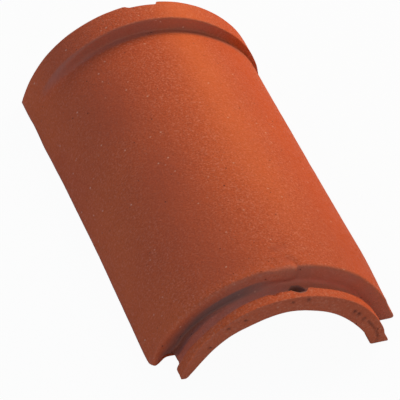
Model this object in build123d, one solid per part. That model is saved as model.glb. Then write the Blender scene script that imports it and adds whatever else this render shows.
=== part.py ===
from build123d import *
import os

# Half-round clay ridge tile, pressed and fired in one piece. It has a raised
# collar at one end and a narrower, grooved neck at the other, which goes
# under the collar of the next tile.
# Millimetres. X runs across the tile, Y along it towards the collar, Z up.
# The origin is on the floor, in the middle of the footprint.

# Barrel
tile_length = 380.0
barrel_width = 217.0
barrel_height = 78.0
barrel_wall = 15.0

# Neck, with an end rib and a groove behind it
neck_length = 25.0
rib_length = 11.0
rib_drop = 11.0
rib_inset = 17.0
rib_chamfer = 1.5
rib_flank_run = 4.0
groove_depth = 5.0
neck_wall_at_crown = 10.0
neck_wall_at_foot = 7.0
bore_slope_run = 14.0

# Socket under the collar, with room for the neck of the next tile
socket_gap_at_crown = 8.5
socket_gap_at_foot = 5.0
socket_gap_at_end = 3.0
socket_slope_run = 6.0

# Collar
collar_length = 27.5
collar_wall_at_crown = 15.0
collar_wall_at_foot = 13.0
collar_step_run = 1.5

# Rounded edges
shoulder_round = 6.0
groove_round = 4.0
collar_round = 2.0

# Nail hole through the groove, to one side of the crown
nail_hole_diameter = 8.0
nail_hole_offset = 12.0
nail_hole_bite = 1.0

# Shallow notch in the collar end
end_notch_width = 29.0
end_notch_depth = 3.0
end_notch_offset = -2.0

# Places along the tile
neck_end_y = -tile_length / 2
collar_end_y = tile_length / 2
rib_back_y = neck_end_y + rib_length
shoulder_y = neck_end_y + neck_length
collar_edge_y = collar_end_y - collar_length
collar_step_y = collar_edge_y - collar_step_run
socket_floor_y = collar_end_y - neck_length - socket_gap_at_end

# Each arch is the half width at its feet and the height of its crown
barrel_arch = (barrel_width / 2, barrel_height)
rib_arch = (barrel_width / 2 - rib_inset, barrel_height - rib_drop)
groove_arch = (rib_arch[0] - groove_depth, rib_arch[1] - groove_depth)
neck_bore_arch = (groove_arch[0] - neck_wall_at_foot, groove_arch[1] - neck_wall_at_crown)
barrel_bore_arch = (barrel_arch[0] - barrel_wall, barrel_arch[1] - barrel_wall)
socket_arch = (rib_arch[0] + socket_gap_at_foot, rib_arch[1] + socket_gap_at_crown)
collar_arch = (socket_arch[0] + collar_wall_at_foot, socket_arch[1] + collar_wall_at_crown)


def arch_face(arch, y):
    """Face between the floor and a round arch, across the tile at the given y."""
    half_width, crown = arch
    plane = Plane(origin=(0, y, 0), x_dir=(1, 0, 0), z_dir=(0, -1, 0))
    curve = ThreePointArc((-half_width, 0), (0, crown), (half_width, 0))
    return plane * make_face(curve + Line(curve @ 1, curve @ 0))


def straight_length(arch, start_y, end_y):
    """Length of one arch section."""
    return extrude(arch_face(arch, start_y), amount=start_y - end_y)


def sloped_length(start_arch, start_y, end_arch, end_y):
    """Length that changes evenly from one arch section to another."""
    return loft([arch_face(start_arch, start_y), arch_face(end_arch, end_y)])


def arch_edges(solid, y):
    """Round edges that a solid has at the given y, the lowest arch first."""
    return solid.edges().filter_by_position(Axis.Y, y, y).filter_by(GeomType.CIRCLE).sort_by(SortBy.LENGTH)


# Barrel, with the rounded shoulder above the neck
barrel = straight_length(barrel_arch, shoulder_y, collar_end_y)
barrel = fillet(arch_edges(barrel, shoulder_y), shoulder_round)

# Neck: groove floor, then the rib that stands up at the end and slopes back to it
groove = straight_length(groove_arch, neck_end_y, shoulder_y)
rib = straight_length(rib_arch, neck_end_y, rib_back_y)
rib = chamfer(arch_edges(rib, neck_end_y), rib_chamfer)
rib_flank = sloped_length(rib_arch, rib_back_y, groove_arch, rib_back_y + rib_flank_run)
outside = barrel + groove
outside = fillet(arch_edges(outside, shoulder_y)[0], groove_round)
outside += rib + rib_flank

# Collar with the steep step that leads up to it
collar = straight_length(collar_arch, collar_edge_y, collar_end_y)
collar = fillet(arch_edges(collar, collar_edge_y), collar_round)
collar_step = sloped_length(barrel_arch, collar_step_y, collar_arch, collar_edge_y)
outside += collar_step + collar

# Hollow underneath, narrow in the neck and wide in the socket
hollow = straight_length(neck_bore_arch, neck_end_y, shoulder_y)
hollow += sloped_length(neck_bore_arch, shoulder_y, barrel_bore_arch, shoulder_y + bore_slope_run)
hollow += straight_length(barrel_bore_arch, shoulder_y + bore_slope_run, socket_floor_y)
hollow += sloped_length(barrel_bore_arch, socket_floor_y, socket_arch, socket_floor_y + socket_slope_run)
hollow += straight_length(socket_arch, socket_floor_y + socket_slope_run, collar_end_y)
ridge_tile = outside - hollow

# Nail hole, close enough to the rib to bite into its back edge
nail_hole_y = rib_back_y + nail_hole_diameter / 2 - nail_hole_bite
ridge_tile -= Pos(nail_hole_offset, nail_hole_y, 0) * Cylinder(nail_hole_diameter / 2, 4 * barrel_height)

# Notch in the collar end
end_notch = Box(end_notch_width, 2 * end_notch_depth, 4 * barrel_height)
ridge_tile -= Pos(end_notch_offset, collar_end_y, 0) * end_notch

os.makedirs("parts", exist_ok=True)
export_step(ridge_tile, "parts/ridge_tile.step")
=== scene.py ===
import math
import bpy
import numpy as np
from mathutils import Matrix, Vector, noise


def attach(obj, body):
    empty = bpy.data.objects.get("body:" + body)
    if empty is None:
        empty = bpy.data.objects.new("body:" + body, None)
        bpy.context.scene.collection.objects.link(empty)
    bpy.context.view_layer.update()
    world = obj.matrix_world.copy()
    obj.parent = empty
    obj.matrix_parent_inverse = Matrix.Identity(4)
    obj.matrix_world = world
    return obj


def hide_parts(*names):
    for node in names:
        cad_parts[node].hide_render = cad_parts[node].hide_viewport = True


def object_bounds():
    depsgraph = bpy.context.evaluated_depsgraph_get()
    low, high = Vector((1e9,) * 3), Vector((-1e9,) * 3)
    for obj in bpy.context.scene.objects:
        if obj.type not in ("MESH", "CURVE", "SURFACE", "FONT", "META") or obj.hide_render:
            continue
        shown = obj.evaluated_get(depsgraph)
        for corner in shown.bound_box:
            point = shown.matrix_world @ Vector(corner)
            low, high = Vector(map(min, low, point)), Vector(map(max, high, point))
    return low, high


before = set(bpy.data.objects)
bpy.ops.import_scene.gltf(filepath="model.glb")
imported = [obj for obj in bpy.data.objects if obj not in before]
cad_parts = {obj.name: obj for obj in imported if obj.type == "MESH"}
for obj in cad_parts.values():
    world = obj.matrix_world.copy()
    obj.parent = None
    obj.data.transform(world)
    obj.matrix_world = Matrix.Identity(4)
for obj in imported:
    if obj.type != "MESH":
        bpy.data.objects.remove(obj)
cad_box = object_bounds()

# Ridge tile. It is one piece of red clay, pressed half-round over a mould and fired: a long
# barrel, a raised collar at the far end, and at the near end a narrower neck with a groove
# and an end rib. Its outside and its hollow are each a row of arches, in millimetres.

MM_PER_METRE = 1000.0
TILE_LENGTH = 380.0
END_Y = TILE_LENGTH / 2

# Each kind of arch: half width at the feet, and height of the crown
RIB = (91.5, 67.0)
BARREL = (108.5, 77.9)
COLLAR = (109.5, 90.5)
NECK_BORE = (79.0, 51.8)
BARREL_BORE = (93.5, 63.0)
SOCKET = (96.5, 75.5)

# Each arch of the outside: place along the tile, half width, crown, and how far the corner
# there is rounded, towards the neck end and towards the collar end. The right side is
# crisp. On the left the shoulder leans over the groove, the collar's step fades out, and
# the foot of the neck is worn narrow.
RIGHT_SIDE = [
    (-END_Y, *RIB, 0.0, 0.0),
    (-179.0, *RIB, 0.7, 0.7),
    (-177.3, 86.8, 62.0, 1.0, 1.2),
    (-165.6, 86.5, 61.6, 3.0, 3.0),
    (-164.8, *BARREL, 3.2, 3.2),
    (164.4, *BARREL, 2.0, 2.0),
    (164.2, *COLLAR, 1.8, 1.8),
    (END_Y, *COLLAR, 0.0, 0.0),
]
LEFT_SIDE = [
    (-END_Y, *RIB, 0.0, 0.0),
    (-181.2, *RIB, 0.9, 1.2),
    (-178.8, 87.2, 62.4, 1.5, 2.0),
    (-161.2, 87.0, 62.2, 2.0, 2.5),
    (-165.6, *BARREL, 5.0, 6.0),
    (157.0, *BARREL, 4.0, 5.0),
    (161.5, *COLLAR, 3.0, 3.0),
    (END_Y, *COLLAR, 0.0, 0.0),
]
LEFT_FOOT = [
    (-END_Y, 89.6, 67.0, 0.0, 0.0),
    (-177.0, 89.0, 67.0, 1.0, 1.5),
    (-174.0, 85.8, 62.5, 1.5, 3.0),
    (-158.5, 87.4, 62.3, 2.5, 3.0),
    (-165.8, 108.5, 77.8, 4.0, 4.0),
    (150.0, 108.6, 78.0, 8.0, 8.0),
    (168.0, *COLLAR, 8.0, 8.0),
    (END_Y, *COLLAR, 0.0, 0.0),
]
ROWS_BETWEEN = [15, 4, 6, 7, 118, 7, 24]
ROWS_IN_CORNER = 6

# Shares of the way across where the left side and the left foot give way to the next
LEFT_SIDE_ENDS = (0.14, 0.38)
LEFT_FOOT_ENDS = (0.02, 0.20)

HOLLOW = [
    (-END_Y, *NECK_BORE),
    (-165.0, *NECK_BORE),
    (-151.0, *BARREL_BORE),
    (162.0, *BARREL_BORE),
    (168.0, *SOCKET),
    (END_Y, *SOCKET),
]
HOLLOW_SOFTNESS = 5.0
HOLLOW_SAMPLES = 7
LEAST_STEP = 0.25

COLUMNS = 184
ARC_LENGTH = 300.0
FOOT_COLUMNS = [0.0, 0.7, 1.5, 2.5, 3.7]
DEPTH_ROWS = np.array([0.0, 0.05, 0.11, 0.19, 0.30, 0.43, 0.57, 0.70, 0.81, 0.89, 0.95, 1.0])


def rounded_outline(arches):
    """Rows along one side's arches, with the corners between them rounded."""
    corners = [np.array(arch[:3]) for arch in arches]
    before = [arch[3] for arch in arches]
    after = [arch[4] for arch in arches]
    rows = []
    for start in range(len(corners) - 1):
        here, there = corners[start], corners[start + 1]
        run = math.hypot(there[0] - here[0], there[2] - here[2])
        leave = here + (there - here) * after[start] / run
        arrive = there + (here - there) * before[start + 1] / run
        steps = ROWS_BETWEEN[start]
        rows += [leave + (arrive - leave) * step / steps for step in range(steps + 1)]
        if start + 2 < len(corners):
            onward = corners[start + 2]
            run = math.hypot(onward[0] - there[0], onward[2] - there[2])
            depart = there + (onward - there) * after[start + 1] / run
            for step in range(1, ROWS_IN_CORNER):
                t = step / ROWS_IN_CORNER
                rows.append(arrive * (1 - t) ** 2 + there * 2 * t * (1 - t) + depart * t * t)
    return np.array(rows)


def along_arch(half_width, crown, across):
    """Point on a round arch; across runs from 0 at the left foot to 1 at the right."""
    radius = (half_width ** 2 + crown ** 2) / (2 * crown)
    centre = crown - radius
    widest = np.arctan2(half_width, -centre)
    angle = (2 * across - 1) * widest
    return radius * np.sin(angle), centre + radius * np.cos(angle)


def arch_length(half_width, crown):
    """Length of a round arch from foot to foot."""
    radius = (half_width ** 2 + crown ** 2) / (2 * crown)
    return 2 * np.arctan2(half_width, radius - crown) * radius


def beyond(value, zone):
    """0 before a zone, 1 after it, and smooth within."""
    start, end = zone
    t = np.clip((value - start) / (end - start), 0, 1)
    return t * t * (3 - 2 * t)


def short_of(value, zone):
    """1 before a zone, 0 after it, and smooth within."""
    return 1 - beyond(value, zone)


def hump(value, centre, reach):
    """Smooth hump of height 1, gone at about twice its reach."""
    return np.exp(-((value - centre) / reach) ** 2)


right_rows = rounded_outline(RIGHT_SIDE)
left_rows = rounded_outline(LEFT_SIDE)
foot_rows = rounded_outline(LEFT_FOOT)

near_foot = np.array(FOOT_COLUMNS) / ARC_LENGTH
middle = np.linspace(near_foot[-1], 1 - near_foot[-1], COLUMNS - 2 * len(near_foot) + 2)
across_columns = np.concatenate([near_foot[:-1], middle, 1 - near_foot[:-1][::-1]])

# The clay is a bent slab, so its skin is that of a block of rows, columns and depths
block = np.full((len(right_rows), len(across_columns), len(DEPTH_ROWS)), -1)
on_skin = np.zeros(block.shape, bool)
on_skin[0] = on_skin[-1] = True
on_skin[:, 0] = on_skin[:, -1] = True
on_skin[:, :, 0] = on_skin[:, :, -1] = True
block[on_skin] = np.arange(on_skin.sum())
row, column, layer = np.nonzero(on_skin)

across = across_columns[column]
depth = DEPTH_ROWS[layer]
left_share = short_of(across, LEFT_SIDE_ENDS)
foot_share = short_of(across, LEFT_FOOT_ENDS)
outline = right_rows[row] * (1 - left_share[:, None]) + left_rows[row] * left_share[:, None]
outline = outline * (1 - foot_share[:, None]) + foot_rows[row] * foot_share[:, None]
out_y, out_half, out_crown = outline.T

# The hollow's rows keep moving on where the outside steps straight up
walk = np.concatenate([[0], np.cumsum(np.maximum(np.diff(right_rows[:, 0]), LEAST_STEP))])
in_y = (walk / walk[-1] * TILE_LENGTH - END_Y)[row]
hollow_y, hollow_half, hollow_crown = np.array(HOLLOW).T
nearby = np.linspace(-HOLLOW_SOFTNESS, HOLLOW_SOFTNESS, HOLLOW_SAMPLES)
in_half = np.mean([np.interp(in_y + step, hollow_y, hollow_half) for step in nearby], axis=0)
in_crown = np.mean([np.interp(in_y + step, hollow_y, hollow_crown) for step in nearby], axis=0)

# All edges of the slab are rounded, as fired clay has no sharp edge. The left of the neck's
# end is worn rounder, and its foot is worn to a blunt tip.
EDGE_ROUND = 1.2
CRISPER_AT_COLLAR = 0.5
COLLAR_START = (160.0, 180.0)
WORN_ROUND = 2.0
WORN_ACROSS = (0.22, 0.36)
WORN_ALONG = (-184.0, -180.0)
TIP_ACROSS = (0.03, 0.10)
TIP_ALONG = (-174.0, -168.0)
TIP_FOOT_ROUND = 2.2
TIP_SKIN_ROUND = 1.6
LIP_ACROSS = (0.02, 0.06)
LIP_Y = -165.0
LIP_REACH = 6.0
LIP_ROUND = 1.2

out_x, out_z = along_arch(out_half, out_crown, across)
in_x, in_z = along_arch(in_half, in_crown, across)
arc = arch_length(out_half, out_crown)
wall = np.sqrt((out_x - in_x) ** 2 + (out_z - in_z) ** 2)
tip = short_of(across, TIP_ACROSS) * short_of(out_y, TIP_ALONG)
worn = short_of(across, WORN_ACROSS) * short_of(out_y, WORN_ALONG)
lip = short_of(across, LIP_ACROSS) * hump(out_y, LIP_Y, LIP_REACH)
plain_round = EDGE_ROUND - CRISPER_AT_COLLAR * beyond(out_y, COLLAR_START)
foot_round = plain_round + TIP_FOOT_ROUND * tip + LIP_ROUND * lip
end_round = plain_round + WORN_ROUND * worn * (1 - tip)
skin_round = plain_round + WORN_ROUND * worn + TIP_SKIN_ROUND * tip + LIP_ROUND * lip

slab_size = np.stack([arc, np.full_like(arc, TILE_LENGTH), wall], axis=1)
place = np.stack([across * arc, out_y + END_Y, depth * wall], axis=1)
inset = np.stack([foot_round, end_round, skin_round], axis=1)
core = np.clip(place, inset, slab_size - inset)
offset = (place - core) / inset
reach = np.maximum(np.linalg.norm(offset, axis=1), 1)[:, None]
rounded = core + offset / reach * inset

across = rounded[:, 0] / arc
depth = np.clip(rounded[:, 2] / wall, 0, 1)
out_x, out_z = along_arch(out_half, out_crown, across)
in_x, in_z = along_arch(in_half, in_crown, across)
x = out_x + (in_x - out_x) * depth
z = out_z + (in_z - out_z) * depth
y = out_y + (in_y - out_y) * depth + rounded[:, 1] - place[:, 1]
outer = 1 - depth
inner = depth
on_left = x < 0

# The left foot dried bowed in at mid-length
BOW = 2.3
BOW_TOP = 48.0
bow = np.cos(np.pi * y / TILE_LENGTH) ** 2 * np.clip(1 - z / BOW_TOP, 0, 1) ** 2
x = x + BOW * bow * on_left

# Both sides pinch in just above the feet behind the groove, where the wire that trimmed the
# tile dragged the lip outwards
PINCH = 1.5
PINCH_Z = 11.0
PINCH_REACH = 6.0
PINCH_FRONT = (-171.0, -163.0)
PINCH_BACK = (-162.0, -135.0)
pinch = hump(z, PINCH_Z, PINCH_REACH) * beyond(y, PINCH_FRONT) * short_of(y, PINCH_BACK)
x = x - np.sign(x) * PINCH * pinch * outer

# The barrel draws in towards the neck on the right, and towards the collar on the left
NECK_DRAW = 1.4
RIGHT_FLANK = (60.0, 95.0)
NECK_DRAW_ENDS = (-165.0, -110.0)
COLLAR_DRAW = 1.2
LEFT_FLANK = (-105.0, -80.0)
COLLAR_DRAW_STARTS = (120.0, 165.0)
x = x - NECK_DRAW * beyond(x, RIGHT_FLANK) * short_of(y, NECK_DRAW_ENDS) * outer
x = x + COLLAR_DRAW * short_of(x, LEFT_FLANK) * beyond(y, COLLAR_DRAW_STARTS) * outer

# The right side is a little fuller than the left, and the collar's step runs back on it
FULLER_OUT = 0.9
FULLER_UP = 0.5
FULLER_ACROSS = (0.70, 0.88)
FULLER_FOOT = (0.94, 1.0)
FULLER_ALONG = (-140.0, -90.0)
fuller_side = beyond(across, FULLER_ACROSS) * short_of(across, FULLER_FOOT)
fuller_side = fuller_side * beyond(y, FULLER_ALONG) * outer
x = x + FULLER_OUT * fuller_side
z = z + FULLER_UP * fuller_side

STEP_BACK = 4.5
STEP_ACROSS = (0.68, 0.93)
STEP_STARTS = (148.0, 160.0)
STEP_ENDS = (168.0, 188.0)
step_back = beyond(across, STEP_ACROSS) * beyond(y, STEP_STARTS) * short_of(y, STEP_ENDS)
y = y + STEP_BACK * step_back * outer

# The rib is fuller on the right, where its foot flares out under a narrow waist
RIB_OUT = 1.4
RIB_UP = 2.2
RIB_ACROSS = (0.60, 0.86)
RIB_ENDS = (-176.0, -172.0)
RIB_FULL_X = 90.0
RIB_FULL_Z = 66.0
RIB_FOOT = (0.0, 12.0)
WAIST = 1.2
WAIST_Z = 8.0
WAIST_REACH = 4.0
full_rib = beyond(across, RIB_ACROSS) * short_of(y, RIB_ENDS) * outer
x = x + RIB_OUT * full_rib * np.clip(x / RIB_FULL_X, 0, 1)
z = z + RIB_UP * full_rib * beyond(z, RIB_FOOT) * np.clip(z / RIB_FULL_Z, 0, 1)
x = x - WAIST * full_rib * hump(z, WAIST_Z, WAIST_REACH)

# The shoulder's left foot sags forward in a round lobe, and the foot of the groove in
# front of it is lifted a little off the floor
LOBE = 3.8
LOBE_X = -103.0
LOBE_WIDTH = 4.4
LOBE_HEIGHT = 7.0
LOBE_BACK = (-166.0, -150.0)
LOBE_FRONT = (-177.0, -172.0)
LIFT = 3.8
LIFT_HEIGHT = 8.0
LIFT_LEFT = (-100.0, -92.0)
LIFT_FRONT = (-177.0, -171.0)
LIFT_BACK = (-165.0, -151.0)
lobe = hump(x, LOBE_X, LOBE_WIDTH) * hump(z, 0, LOBE_HEIGHT)
lobe = lobe * short_of(y, LOBE_BACK) * beyond(y, LOBE_FRONT)
y = y - LOBE * lobe
lifted = beyond(x, LIFT_LEFT) * on_left * beyond(y, LIFT_FRONT) * short_of(y, LIFT_BACK)
z = z + LIFT * lifted * hump(z, 0, LIFT_HEIGHT)

# Inside the neck the left foot thins to a wedge, the right wall is left thicker, and the
# crown is cut a little higher
WEDGE = 4.2
WEDGE_HEIGHT = 10.0
WEDGE_ENDS = (-180.0, -165.0)
THICKER = 2.6
THICKER_ACROSS = (0.62, 0.85)
THICKER_AT_FOOT = 1.0
THICKER_FOOT_HEIGHT = 8.0
HIGHER_CROWN = 1.2
HIGHER_X = -2.0
HIGHER_REACH = 16.0
NECK_INSIDE_ENDS = (-180.0, -160.0)
x = x - WEDGE * hump(z, 0, WEDGE_HEIGHT) * on_left * short_of(y, WEDGE_ENDS) * inner
thicker = beyond(across, THICKER_ACROSS) * inner * short_of(y, NECK_INSIDE_ENDS)
x = x - (THICKER + THICKER_AT_FOOT * hump(z, 0, THICKER_FOOT_HEIGHT)) * thicker
higher = hump(x, HIGHER_X, HIGHER_REACH) * (z > 0) * inner * short_of(y, NECK_INSIDE_ENDS)
z = z + HIGHER_CROWN * higher

# Left of the crown the shoulder sags forward over the groove and ends in a short crease
SAG = 3.0
SAG_LEFT = (-16.0, -5.0)
SAG_CREASE = (11.0, 14.5)
SAG_TOP = (63.0, 71.0)
SAG_BACK = (-164.0, -150.0)
SAG_FRONT = (-172.0, -167.0)
sag = beyond(x, SAG_LEFT) * short_of(x, SAG_CREASE) * beyond(z, SAG_TOP)
y = y - SAG * sag * short_of(y, SAG_BACK) * beyond(y, SAG_FRONT) * outer

# Shallow notch trimmed out of the collar end, soft at its left and crisp at its right,
# where it is also a little deeper
NOTCH = 3.4
NOTCH_LEFT = (-17.5, -12.5)
NOTCH_RIGHT = (11.3, 13.2)
NOTCH_MIDDLE = -3.0
NOTCH_HALF_WIDTH = 15.0
NOTCH_SLANT = 0.12
NOTCH_ALONG = (172.0, END_Y)
notch = beyond(x, NOTCH_LEFT) * short_of(x, NOTCH_RIGHT)
notch = notch * (1 + NOTCH_SLANT * (x - NOTCH_MIDDLE) / NOTCH_HALF_WIDTH)
y = y - NOTCH * notch * beyond(y, NOTCH_ALONG)

faces = []
for grid, flip in (
    (block[:, :, 0], False), (block[:, :, -1], True),
    (block[:, 0, :], True), (block[:, -1, :], False),
    (block[0], False), (block[-1], True),
):
    quads = np.stack([grid[:-1, :-1], grid[:-1, 1:], grid[1:, 1:], grid[1:, :-1]], axis=-1)
    quads = quads.reshape(-1, 4)
    faces.append(quads[:, ::-1] if flip else quads)
faces = np.concatenate(faces)

tile_mesh = bpy.data.meshes.new("ridge_tile_clay")
smooth_points = np.stack([x, y, z], axis=1)
tile_mesh.from_pydata((smooth_points / MM_PER_METRE).tolist(), [], faces.tolist())
tile_mesh.update()
tile = bpy.data.objects.new("ridge_tile_clay", tile_mesh)
bpy.context.scene.collection.objects.link(tile)

# Surface of the soft clay, with what pressing and handling left on it: slow waves, small
# knocks and lumps, and on the end face pits and a crack. All are pushed in or out of the
# skin, in millimetres.

# Each knock or lump on the outside: x, y, reach across, reach along, and height
SPOTS = [
    (-15.0, -165.0, 4.0, 3.0, 0.7),
    (13.5, -160.0, 2.4, 5.0, -1.9),
    (9.0, -154.0, 3.0, 3.0, -1.4),
    (5.0, -165.0, 6.0, 3.5, 0.6),
    (11.0, -138.0, 4.0, 3.0, -1.2),
    (1.0, -144.0, 5.0, 3.0, -1.0),
    (-6.0, -154.0, 5.0, 4.0, -0.5),
    (-10.5, -180.5, 3.2, 2.2, -1.6),
    (0.0, -179.5, 6.0, 1.8, -1.0),
    (21.0, -179.5, 3.0, 1.5, 0.5),
    (76.0, 96.0, 9.0, 16.0, -0.5),
]

# Each pit in the end face: x, z and reach. The crack runs on from the first three, down to
# the right foot.
PITS = [
    (57.6, 39.8, 1.7), (61.5, 36.3, 1.9), (66.5, 30.1, 1.6), (15.6, 62.5, 1.6),
    (2.3, 62.5, 1.2), (-37.5, 52.5, 1.3), (-51.3, 46.6, 1.3), (-66.0, 30.0, 1.2),
]
CRACK = [(70.9, 26.6), (75.2, 21.0), (78.8, 16.1), (80.6, 10.2), (81.3, 4.0)]
CRACK_REACH = 1.0
CRACK_SHARE = 0.7
CUT_DEPTH = 0.8
DEEPER_PIT = 0.6
END_FACE_DEPTH = 1.2

WAVE_SIZE = 70.0
RIPPLE_SIZE = 16.0
GRAIN_SIZE = 4.0
WAVE_HEIGHT = 0.5
RIPPLE_HEIGHT = 0.14
GRAIN_HEIGHT = 0.06
APART = 300.0

# The feet stand on the floor with a rough underside that is hollowed a little
STANDING_HEIGHT = 0.4
FOOT_HOLLOW = 0.25
FOOT_ROUGHNESS = 0.3


def unevenness(size, shift_x=0.0, shift_y=0.0):
    """Smooth unevenness of about the given size, at each point of the skin."""
    return np.array([
        noise.noise(Vector((px + shift_x, py + shift_y, pz)) / size)
        for px, py, pz in smooth_points
    ])


normals = np.empty(smooth_points.size)
tile_mesh.vertices.foreach_get("normal", normals)
normals = normals.reshape(-1, 3)

waves = unevenness(WAVE_SIZE)
ripples = unevenness(RIPPLE_SIZE, shift_x=APART)
grains = unevenness(GRAIN_SIZE, shift_y=APART)
lift = WAVE_HEIGHT * waves + RIPPLE_HEIGHT * ripples + GRAIN_HEIGHT * grains
for spot_x, spot_y, reach_x, reach_y, height in SPOTS:
    spot = hump(x, spot_x, reach_x) * hump(y, spot_y, reach_y)
    lift += height * spot * outer * (z > 0)

end_face = y < END_FACE_DEPTH - END_Y
pitted = np.zeros_like(lift)
for pit_x, pit_z, pit_reach in PITS:
    pit = hump(x, pit_x, pit_reach) * hump(z, pit_z, pit_reach) * end_face
    lift -= DEEPER_PIT * pit
    pitted = np.maximum(pitted, pit)
for (from_x, from_z), (to_x, to_z) in zip(CRACK, CRACK[1:]):
    run_x, run_z = to_x - from_x, to_z - from_z
    along = ((x - from_x) * run_x + (z - from_z) * run_z) / (run_x ** 2 + run_z ** 2)
    along = np.clip(along, 0, 1)
    gap = np.hypot(x - from_x - along * run_x, z - from_z - along * run_z)
    pitted = np.maximum(pitted, CRACK_SHARE * hump(gap, 0, CRACK_REACH) * end_face)
lift -= CUT_DEPTH * pitted
foot_lift = -FOOT_HOLLOW - FOOT_ROUGHNESS * np.abs(ripples)
lift = np.where(z < STANDING_HEIGHT, foot_lift, lift)

points = smooth_points + normals * lift[:, None]
lowest = np.array(cad_box[0]) * MM_PER_METRE
highest = np.array(cad_box[1]) * MM_PER_METRE
points = np.clip(points, lowest, highest)
tile_mesh.vertices.foreach_set("co", (points / MM_PER_METRE).ravel())
tile_mesh.update()

# Tones painted on the skin as shares from 0 to 1. Most of them are painted shade, painted
# highlight and painted light; the rest are soot, pits and how much sand shows. Angles are in
# degrees round the barrel's axis, from the crown towards the right.
AXIS_DEPTH = 36.5
SKIN_STARTS = (0.3, 0.8)
BARREL_STARTS = (-166.0, -150.0)
angle = np.degrees(np.arctan2(x, z + AXIS_DEPTH))
skin = beyond(outer, SKIN_STARTS)
on_barrel = beyond(y, BARREL_STARTS)

# Grey of shade painted on the faces turned away from the key, the shoulder's face, the
# collar's step and the end face, and paler painted light in the groove that lifts its shade,
# both weaker on the left
LEFT_WEAKNESS = 0.6
SHOULDER_HALF = (88.0, 93.0)
SHOULDER_STARTS = (-176.0, -172.0)
SHOULDER_ENDS = (-165.5, -161.0)
COLLAR_STEP_STARTS = (156.5, 160.5)
COLLAR_STEP_ENDS = (163.5, 167.0)
COLLAR_STEP_FADES = (22.0, 45.0)
GREY_OF_SHADE_SHARE = 0.85
GREY_OF_SHADE_CHANGE = 0.3
END_FACE_GREY_OF_SHADE = 0.5
weaker_left = 1 - LEFT_WEAKNESS * left_share * (y < 0)
shoulder = beyond(out_half, SHOULDER_HALF)
shoulder = shoulder * beyond(y, SHOULDER_STARTS) * short_of(y, SHOULDER_ENDS)
collar_step = beyond(y, COLLAR_STEP_STARTS) * short_of(y, COLLAR_STEP_ENDS)
collar_step = collar_step * beyond(z, COLLAR_STEP_FADES)
grey_of_shade = (shoulder + collar_step) * (GREY_OF_SHADE_SHARE + GREY_OF_SHADE_CHANGE * ripples) * weaker_left * skin

# The groove's paler tone is painted light that lifts the shade in the groove.
GROOVE_HALF = (89.0, 94.0)
GROOVE_STARTS = (-179.5, -178.0)
GROOVE_ENDS = (-160.0, -156.0)
GROOVE_LIGHT_SHARE = 0.9
GROOVE_LIGHT_CHANGE = 0.3
groove = short_of(out_half, GROOVE_HALF)
groove = groove * beyond(y, GROOVE_STARTS) * short_of(y, GROOVE_ENDS)
groove_light = groove * (GROOVE_LIGHT_SHARE + GROOVE_LIGHT_CHANGE * ripples) * weaker_left * skin

# Painted shade: a band left of the crown, drifting round the barrel along its length, the
# right side near the neck, and two patches for the shade in the dents where the shoulder was
# knocked
SHADE_BAND_ANGLE = -27.0
SHADE_BAND_DRIFT = -0.04
SHADE_BAND_REACH = 17.0
RIGHT_SIDE_SHADE = 0.6
RIGHT_SIDE_SHADE_STARTS = (10.0, 40.0)
RIGHT_SIDE_SHADE_ENDS = (-150.0, -40.0)
DENT_SHADE = 1.3
DENT_SHADE_PATCHES = [(9.0, -157.0, 6.0, 6.0), (7.0, -139.0, 7.0, 3.0)]
PAINTED_LIGHT_SHARE = 0.9
PAINTED_LIGHT_CHANGE = 0.5
painted_shade = hump(angle, SHADE_BAND_ANGLE + SHADE_BAND_DRIFT * y, SHADE_BAND_REACH)
painted_shade += RIGHT_SIDE_SHADE * beyond(angle, RIGHT_SIDE_SHADE_STARTS) * short_of(y, RIGHT_SIDE_SHADE_ENDS)
for patch_x, patch_y, reach_x, reach_y in DENT_SHADE_PATCHES:
    painted_shade += DENT_SHADE * hump(x, patch_x, reach_x) * hump(y, patch_y, reach_y)
# The painted shade and painted highlight vary slowly in strength along the barrel.
painted_light_change = (PAINTED_LIGHT_SHARE + PAINTED_LIGHT_CHANGE * waves) * skin * on_barrel
painted_shade = painted_shade * painted_light_change

# Painted highlight along the right of the crown, and beside it a deeper, darker red painted as
# shade that tones down the lit side
HIGHLIGHT_ANGLE = 14.0
HIGHLIGHT_REACH = 11.0
HIGHLIGHT_STARTS = (-END_Y, 60.0)
LIT_SIDE_SHADE_ANGLE = 44.0
LIT_SIDE_SHADE_REACH = 12.0
painted_highlight = hump(angle, HIGHLIGHT_ANGLE, HIGHLIGHT_REACH) * beyond(y, HIGHLIGHT_STARTS) * painted_light_change
lit_side_shade = hump(angle, LIT_SIDE_SHADE_ANGLE, LIT_SIDE_SHADE_REACH) * skin

# Painted shade in the corner under the left shoulder and along the left of the groove, and a
# rim of soot along the left foot
CORNER_Y = -165.4
CORNER_BACK_ON_LEFT = 3.8
CORNER_BACK_AT_FOOT = 3.2
CORNER_REACH = 2.1
CORNER_HALF = 97.0
CORNER_SHADE_FADES = (-42.0, 10.0)
LEFT_GROOVE_SHADE = 0.7
LEFT_GROOVE_SHADE_HALF = (93.0, 106.0)
LEFT_GROOVE_SHADE_STARTS = (-169.0, -167.0)
LEFT_GROOVE_SHADE_ENDS = (-160.0, -156.0)
LEFT_GROOVE_SHADE_FADES = (-75.0, -30.0)
RIM_SOOT = 0.45
RIM_TOP = (0.8, 2.6)
RIM_DEPTH = 0.8
corner_y = CORNER_Y + CORNER_BACK_ON_LEFT * left_share + CORNER_BACK_AT_FOOT * foot_share
corner_shade = hump(y, corner_y, CORNER_REACH) * (out_half < CORNER_HALF)
corner_shade = corner_shade * short_of(x, CORNER_SHADE_FADES)
left_groove_shade = short_of(out_half, LEFT_GROOVE_SHADE_HALF) * short_of(x, LEFT_GROOVE_SHADE_FADES)
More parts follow.
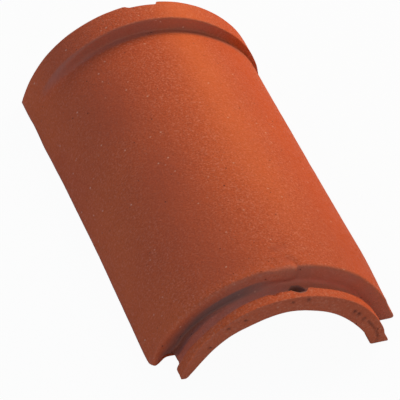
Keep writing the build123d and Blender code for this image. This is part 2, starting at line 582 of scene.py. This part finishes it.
left_groove_shade = left_groove_shade * beyond(y, LEFT_GROOVE_SHADE_STARTS) * short_of(y, LEFT_GROOVE_SHADE_ENDS)
rim = short_of(z, RIM_TOP) * on_left * (depth < RIM_DEPTH) * on_barrel
soot_and_shade = np.maximum(np.maximum(corner_shade, LEFT_GROOVE_SHADE * left_groove_shade) * skin, RIM_SOOT * rim)

# The left flank is rubbed smoother, with half the sand showing
LEAST_SAND = 0.5
SANDY_STARTS = (-60.0, -32.0)

TONES = {
    "grey_of_shade": np.maximum(grey_of_shade, END_FACE_GREY_OF_SHADE * end_face),
    "groove_light": groove_light,
    "painted_shade": painted_shade,
    "painted_highlight": painted_highlight,
    "soot_and_shade": soot_and_shade,
    "pitted": pitted,
    "lit_side_shade": lit_side_shade,
    "sandy": LEAST_SAND + (1 - LEAST_SAND) * beyond(angle, SANDY_STARTS),
}
for tone_name, tone in TONES.items():
    painted = tile_mesh.attributes.new(tone_name, "FLOAT", "POINT")
    painted.data.foreach_set("value", np.clip(tone, 0, 1))

# Nail hole. It was pushed through the groove from above with a round pin while the clay was
# soft, and it tore a shallow oval bite out of the rib's back edge.

# Each ring down the pin: height, centre x and y, reach across and along, in millimetres
HOLE_RINGS = [
    (90.0, 11.0, -177.0, 7.8, 6.8),
    (66.0, 11.0, -176.9, 7.2, 6.4),
    (60.0, 11.2, -176.7, 6.6, 5.8),
    (56.5, 11.7, -176.3, 5.0, 4.8),
    (40.0, 12.0, -176.0, 4.1, 4.1),
]
HOLE_SIDES = 40
TEAR = 0.10
TEAR_ROUND = 3.0
TEAR_DOWN = 9.0
BITE_X, BITE_Y = 11.2, -176.8
BITE_REACH = 7.8
BITE_LOWEST = 40.0
BITE_SHADE = 0.8

pin_points = []
for height, centre_x, centre_y, reach_x, reach_y in HOLE_RINGS:
    for step in range(HOLE_SIDES):
        turn = 2 * math.pi * step / HOLE_SIDES
        right, away = math.cos(turn), math.sin(turn)
        rough_place = Vector((TEAR_ROUND * right, TEAR_ROUND * away, height / TEAR_DOWN))
        tear = 1 + TEAR * noise.noise(rough_place)
        pin_points.append((
            (centre_x + reach_x * tear * right) / MM_PER_METRE,
            (centre_y + reach_y * tear * away) / MM_PER_METRE,
            height / MM_PER_METRE,
        ))
pin_faces = [list(range(HOLE_SIDES))]
for ring in range(len(HOLE_RINGS) - 1):
    for step in range(HOLE_SIDES):
        onward = (step + 1) % HOLE_SIDES
        upper, lower = ring * HOLE_SIDES, (ring + 1) * HOLE_SIDES
        pin_faces.append([upper + step, lower + step, lower + onward, upper + onward])
pin_faces.append(list(range(len(pin_points) - 1, len(pin_points) - HOLE_SIDES - 1, -1)))
pin_mesh = bpy.data.meshes.new("nail_pin")
pin_mesh.from_pydata(pin_points, [], pin_faces)
pin_mesh.update()
pin = bpy.data.objects.new("nail_pin", pin_mesh)
bpy.context.scene.collection.objects.link(pin)

punch = tile.modifiers.new("nail_hole", "BOOLEAN")
punch.operation = "DIFFERENCE"
punch.solver = "EXACT"
punch.object = pin
depsgraph = bpy.context.evaluated_depsgraph_get()
punched_mesh = bpy.data.meshes.new_from_object(tile.evaluated_get(depsgraph))
tile.modifiers.clear()
tile.data = punched_mesh
bpy.data.objects.remove(pin)
punched_mesh.shade_smooth()

# The inside of the bite is painted dark as shade. The pin carries no tones, so it is painted
# here.
for vertex, tone in zip(punched_mesh.vertices, punched_mesh.attributes["soot_and_shade"].data):
    spot_x, spot_y, spot_z = vertex.co * MM_PER_METRE
    if math.hypot(spot_x - BITE_X, spot_y - BITE_Y) < BITE_REACH and spot_z > BITE_LOWEST:
        tone.value = BITE_SHADE

# Fired clay, the one material of the tile: matt red-orange, through and through. Besides the
# painted tones its skin has slow changes of colour, fine sand grain, scattered pale grog
# specks and dark pinholes.

CLAY_ORANGE = (0.64, 0.103, 0.025, 1.0)
CLAY_RED = (0.57, 0.087, 0.025, 1.0)
CLAY_DARK = (0.40, 0.045, 0.008, 1.0)
CLAY_LIGHT = (0.76, 0.23, 0.12, 1.0)
CLAY_PALE = (0.72, 0.33, 0.20, 1.0)
# The next six colours are painted shade and painted light: grey of shade, light in the groove,
# shade on the lit side, the shade band, a highlight, and the dark of shaded corners, which
# also serves for soot.
CLAY_GREY_OF_SHADE = (0.44, 0.122, 0.070, 1.0)
CLAY_GROOVE_LIGHT = (0.66, 0.205, 0.125, 1.0)
CLAY_LIT_SIDE_SHADE = (0.60, 0.072, 0.006, 1.0)
CLAY_PAINTED_SHADE = (0.48, 0.078, 0.028, 1.0)
CLAY_HIGHLIGHT = (0.80, 0.150, 0.032, 1.0)
CLAY_SOOT_AND_SHADE = (0.20, 0.105, 0.080, 1.0)
PINHOLE_DARK = (0.09, 0.028, 0.018, 1.0)

# Each painted tone, its colour and how strongly it lies, in the order they are laid. The first
# five are painted shade and painted light; the sixth is soot and painted shade.
PAINTED_TONES = [
    ("painted_shade", CLAY_PAINTED_SHADE, 0.7),
    ("painted_highlight", CLAY_HIGHLIGHT, 0.6),
    ("lit_side_shade", CLAY_LIT_SIDE_SHADE, 0.55),
    ("grey_of_shade", CLAY_GREY_OF_SHADE, 0.8),
    ("groove_light", CLAY_GROOVE_LIGHT, 0.85),
    ("soot_and_shade", CLAY_SOOT_AND_SHADE, 0.9),
    ("pitted", PINHOLE_DARK, 0.9),
]

# Patterns by scale and detail, and the part of each pattern's range that shows
KILN_PATTERN = (9.0, 5.0)
KILN_RANGE = (0.35, 0.68)
SAND_PATTERN = (640.0, 3.0)
SAND_RANGE = (0.48, 0.70)
LIGHT_SAND_PATTERN = (560.0, 3.0)
LIGHT_SAND_RANGE = (0.50, 0.72)
SAND_STRENGTH = 0.76
SHEEN_PATTERN = (140.0, 4.0)
SHEEN_RANGE = (0.3, 0.7)
ROUGHNESS = (0.66, 0.80)
SPECULAR = 0.14
PATTERN_ROUGHNESS = 0.6

# Flecks by scale, share of the cells that hold one, and reach
GROG = [(230.0, 0.05, 0.26), (95.0, 0.04, 0.12)]
PINHOLES = [(300.0, 0.03, 0.24), (110.0, 0.03, 0.11)]
GROG_STRENGTH = 0.75
PINHOLE_STRENGTH = 0.7
FLECK_EDGE = 0.02
FLECK_CORE = 0.45

FINE_GRAIN_PATTERN = (520.0, 6.0)
FINE_GRAIN_HEIGHT = 0.6
COARSE_GRAIN_PATTERN = (150.0, 4.0)
COARSE_GRAIN_HEIGHT = 0.5
PINHOLE_DEPTH = 0.9
RELIEF_STRENGTH = 0.8
RELIEF_DISTANCE = 0.0016

clay = bpy.data.materials.new("fired_clay")
clay.use_nodes = True
clay_nodes = clay.node_tree.nodes
clay_links = clay.node_tree.links
shader = clay_nodes["Principled BSDF"]
shader.inputs["Specular IOR Level"].default_value = SPECULAR
where = clay_nodes.new("ShaderNodeTexCoord").outputs["Object"]


def clay_pattern(scale, detail):
    """Fine or slow unevenness of the clay, from 0 to 1."""
    texture = clay_nodes.new("ShaderNodeTexNoise")
    texture.inputs["Scale"].default_value = scale
    texture.inputs["Detail"].default_value = detail
    texture.inputs["Roughness"].default_value = PATTERN_ROUGHNESS
    clay_links.new(where, texture.inputs["Vector"])
    return texture.outputs["Fac"]


def spread(value, old_range, new_range):
    """Stretch a value from one range to another, and hold it there."""
    remap = clay_nodes.new("ShaderNodeMapRange")
    clay_links.new(value, remap.inputs["Value"])
    remap.inputs["From Min"].default_value, remap.inputs["From Max"].default_value = old_range
    remap.inputs["To Min"].default_value, remap.inputs["To Max"].default_value = new_range
    return remap.outputs["Result"]


def combine(operation, first, second):
    """Sum, difference, product or larger of two values."""
    node = clay_nodes.new("ShaderNodeMath")
    node.operation = operation
    for socket, value in zip(node.inputs, (first, second)):
        if isinstance(value, float):
            socket.default_value = value
        else:
            clay_links.new(value, socket)
    return node.outputs["Value"]


def tint(base, colour, amount):
    """Lay a colour over the clay by an amount."""
    node = clay_nodes.new("ShaderNodeMix")
    node.data_type = "RGBA"
    clay_links.new(amount, node.inputs[0])
    for socket, value in ((node.inputs[6], base), (node.inputs[7], colour)):
        if isinstance(value, tuple):
            socket.default_value = value
        else:
            clay_links.new(value, socket)
    return node.outputs[2]


def painted_tone(name):
    """Tone that is painted on the skin, from 0 to 1."""
    node = clay_nodes.new("ShaderNodeAttribute")
    node.attribute_name = name
    return node.outputs["Fac"]


def flecks(scale, share, reach):
    """Separate round flecks in a share of the cells of a random pattern."""
    cells = clay_nodes.new("ShaderNodeTexVoronoi")
    cells.inputs["Scale"].default_value = scale
    clay_links.new(where, cells.inputs["Vector"])
    split = clay_nodes.new("ShaderNodeSeparateColor")
    clay_links.new(cells.outputs["Color"], split.inputs["Color"])
    chosen = spread(split.outputs["Red"], (1 - share, 1 - share + FLECK_EDGE), (0.0, 1.0))
    dot = spread(cells.outputs["Distance"], (reach * FLECK_CORE, reach), (1.0, 0.0))
    return combine("MULTIPLY", chosen, dot)


kiln_tone = spread(clay_pattern(*KILN_PATTERN), KILN_RANGE, (0.0, 1.0))
colour = tint(CLAY_ORANGE, CLAY_RED, kiln_tone)
sandy = painted_tone("sandy")
sand = spread(clay_pattern(*SAND_PATTERN), SAND_RANGE, (0.0, SAND_STRENGTH))
colour = tint(colour, CLAY_DARK, combine("MULTIPLY", sand, sandy))
light_sand = spread(clay_pattern(*LIGHT_SAND_PATTERN), LIGHT_SAND_RANGE, (0.0, SAND_STRENGTH))
colour = tint(colour, CLAY_LIGHT, combine("MULTIPLY", light_sand, sandy))
for tone_name, tone_colour, strength in PAINTED_TONES:
    colour = tint(colour, tone_colour, combine("MULTIPLY", painted_tone(tone_name), strength))
grog = combine("MAXIMUM", *[flecks(*kind) for kind in GROG])
colour = tint(colour, CLAY_PALE, combine("MULTIPLY", grog, GROG_STRENGTH))
pinholes = combine("MAXIMUM", *[flecks(*kind) for kind in PINHOLES])
colour = tint(colour, PINHOLE_DARK, combine("MULTIPLY", pinholes, PINHOLE_STRENGTH))
clay_links.new(colour, shader.inputs["Base Color"])

sheen = spread(clay_pattern(*SHEEN_PATTERN), SHEEN_RANGE, ROUGHNESS)
clay_links.new(sheen, shader.inputs["Roughness"])

fine_grain = combine("MULTIPLY", clay_pattern(*FINE_GRAIN_PATTERN), FINE_GRAIN_HEIGHT)
coarse_grain = combine("MULTIPLY", clay_pattern(*COARSE_GRAIN_PATTERN), COARSE_GRAIN_HEIGHT)
grain = combine("MULTIPLY", combine("ADD", fine_grain, coarse_grain), sandy)
grain = combine("SUBTRACT", grain, combine("MULTIPLY", pinholes, PINHOLE_DEPTH))
relief = clay_nodes.new("ShaderNodeBump")
relief.inputs["Strength"].default_value = RELIEF_STRENGTH
relief.inputs["Distance"].default_value = RELIEF_DISTANCE
clay_links.new(grain, relief.inputs["Height"])
clay_links.new(relief.outputs["Normal"], shader.inputs["Normal"])

punched_mesh.materials.clear()
punched_mesh.materials.append(clay)
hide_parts("ridge_tile")
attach(tile, "root")

# Floor and surroundings. A plain white sweep of paper, in metres; the camera sees it nearly
# white, and it still carries the tile's soft shadow.

FLOOR_SIZE = 8.0
FLOOR_Z = -0.0002
PAPER_WHITE = (0.45, 0.45, 0.45, 1.0)
SHADOW_HOLD = 0.96
SKY_LIGHT = (0.76, 0.94, 1.0, 1.0)
SKY_STRENGTH = 0.34
PLAIN_WHITE = (1.0, 1.0, 1.0, 1.0)


def seen_directly(nodes, links):
    """1 where the camera, a reflection or a view through glass looks, 0 for other light."""
    path = nodes.new("ShaderNodeLightPath")
    either = nodes.new("ShaderNodeMath")
    either.operation = "MAXIMUM"
    links.new(path.outputs["Is Camera Ray"], either.inputs[0])
    links.new(path.outputs["Is Glossy Ray"], either.inputs[1])
    all_three = nodes.new("ShaderNodeMath")
    all_three.operation = "MAXIMUM"
    links.new(either.outputs[0], all_three.inputs[0])
    links.new(path.outputs["Is Transmission Ray"], all_three.inputs[1])
    return all_three.outputs[0]


bpy.ops.mesh.primitive_plane_add(size=FLOOR_SIZE, location=(0, 0, FLOOR_Z))
floor = bpy.context.object
floor.name = "paper_floor"
paper = bpy.data.materials.new("white_paper")
paper.use_nodes = True
paper_nodes = paper.node_tree.nodes
paper_links = paper.node_tree.links
paper_nodes.remove(paper_nodes["Principled BSDF"])
matt = paper_nodes.new("ShaderNodeBsdfDiffuse")
matt.inputs["Color"].default_value = PAPER_WHITE
glow = paper_nodes.new("ShaderNodeEmission")
hold = paper_nodes.new("ShaderNodeMath")
hold.operation = "MULTIPLY"
hold.inputs[1].default_value = SHADOW_HOLD
paper_links.new(seen_directly(paper_nodes, paper_links), hold.inputs[0])
paper_mix = paper_nodes.new("ShaderNodeMixShader")
paper_links.new(hold.outputs[0], paper_mix.inputs["Fac"])
paper_links.new(matt.outputs[0], paper_mix.inputs[1])
paper_links.new(glow.outputs[0], paper_mix.inputs[2])
paper_links.new(paper_mix.outputs[0], paper_nodes["Material Output"].inputs["Surface"])
floor.data.materials.append(paper)

world = bpy.data.worlds.new("studio")
bpy.context.scene.world = world
world.use_nodes = True
world_nodes = world.node_tree.nodes
world_links = world.node_tree.links
sky = world_nodes["Background"]
sky.inputs["Color"].default_value = SKY_LIGHT
sky.inputs["Strength"].default_value = SKY_STRENGTH
white = world_nodes.new("ShaderNodeBackground")
white.inputs["Color"].default_value = PLAIN_WHITE
world_mix = world_nodes.new("ShaderNodeMixShader")
world_links.new(seen_directly(world_nodes, world_links), world_mix.inputs["Fac"])
world_links.new(sky.outputs[0], world_mix.inputs[1])
world_links.new(white.outputs[0], world_mix.inputs[2])
world_links.new(world_mix.outputs[0], world_nodes["World Output"].inputs["Surface"])

# Lamps, all of them soft and round, placed in metres. The warm key stands high behind the
# tile on the right, so the left flank and the faces towards the camera lie in shade. Two
# weaker, cooler ones stand low on the left and in front and open that shade.

AIM = Vector((0.0, 0.0, 0.04))

# Each lamp: name, place, power in watts, width, and colour
LAMPS = [
    ("key", Vector((1.21, 1.03, 1.25)), 30.0, 0.9, (1.0, 0.84, 0.64)),
    ("left", Vector((-1.90, 0.10, 0.75)), 14.0, 1.4, (0.16, 0.40, 1.0)),
    ("front", Vector((-0.20, -2.00, 0.55)), 11.5, 1.4, (0.57, 0.72, 1.0)),
]

for lamp_name, lamp_place, power, width, lamp_colour in LAMPS:
    light = bpy.data.lights.new(lamp_name, "AREA")
    light.energy = power
    light.shape = "DISK"
    light.size = width
    light.color = lamp_colour
    lamp = bpy.data.objects.new(lamp_name, light)
    lamp.location = lamp_place
    lamp.rotation_euler = (AIM - lamp_place).to_track_quat("-Z", "Y").to_euler()
    bpy.context.scene.collection.objects.link(lamp)

# Camera. It looks down on the neck end from the front left, with a long lens that keeps the
# tile's sides nearly parallel. Its place is in metres, its lens and sensor in millimetres.

CAMERA_PLACE = Vector((-0.7527, -1.8171, 1.6377))
CAMERA_TURN = math.radians(-22.31)
CAMERA_DOWN = math.radians(39.49)
CAMERA_ROLL = math.radians(4.75)
CAMERA_SENSOR = 36.0
CAMERA_LENS = 269.27
CAMERA_SHIFT = (-0.0010, -0.0017)

camera_data = bpy.data.cameras.new("camera")
camera_data.sensor_width = CAMERA_SENSOR
camera_data.lens = CAMERA_LENS
camera_data.shift_x, camera_data.shift_y = CAMERA_SHIFT
camera = bpy.data.objects.new("camera", camera_data)
camera.matrix_world = (
    Matrix.Translation(CAMERA_PLACE)
    @ Matrix.Rotation(CAMERA_TURN, 4, "Z")
    @ Matrix.Rotation(math.pi / 2 - CAMERA_DOWN, 4, "X")
    @ Matrix.Rotation(CAMERA_ROLL, 4, "Z")
)
bpy.context.scene.collection.objects.link(camera)
bpy.context.scene.camera = camera

bpy.context.scene.view_settings.view_transform = "Standard"
